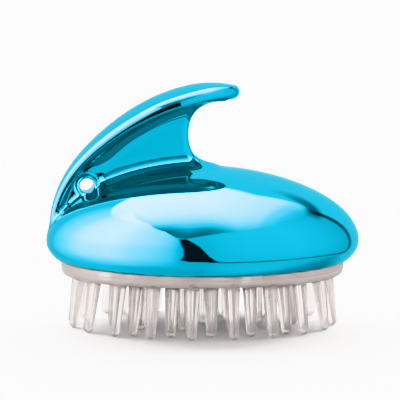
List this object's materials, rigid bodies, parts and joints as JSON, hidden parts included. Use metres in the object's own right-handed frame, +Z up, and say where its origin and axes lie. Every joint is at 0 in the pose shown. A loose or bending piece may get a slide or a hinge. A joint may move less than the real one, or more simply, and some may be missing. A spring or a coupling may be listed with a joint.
{
  "type": "scalp massager brush",
  "caption": "Palm-held scalp massager with a domed housing, arched fin handle with hanging hole, and a bristled soft pad whose middle presses in.",
  "frame": {"origin": "bottom centre of the brush, on the plane the bristle tips stand on", "axes": "+X from the heel towards the nose, which is the way the fin tip points; +Y across the brush; +Z up"},
  "size_m": [0.1, 0.072, 0.0777],
  "materials": {
    "plated_shell": "mirror-bright cyan plating on ABS",
    "chamber_plastic": "natural white ABS",
    "screw_steel": "zinc plated",
    "clear_silicone": "translucent frosted silicone"
  },
  "bodies": {
    "housing": {"upper_shell": "plated_shell", "chamber_plate": "chamber_plastic", "plate_screws": "screw_steel", "pad_rim": "clear_silicone", "rim_edge_bristles": "clear_silicone", "rim_band_bristles": "clear_silicone", "cushion_skirt": "clear_silicone"},
    "cushion": {"cushion_field": "clear_silicone", "field_outer_bristles": "clear_silicone", "field_inner_bristles": "clear_silicone", "field_centre_bristle": "clear_silicone"}
  },
  "joints": [
    {"name": "cushion_press", "type": "slide", "parent": "housing", "child": "cushion", "axis": [0, 0, 1], "range_m": [0, 0.004], "stiffness_N_per_m": 2500, "deforming": ["cushion_skirt"]}
  ]
}
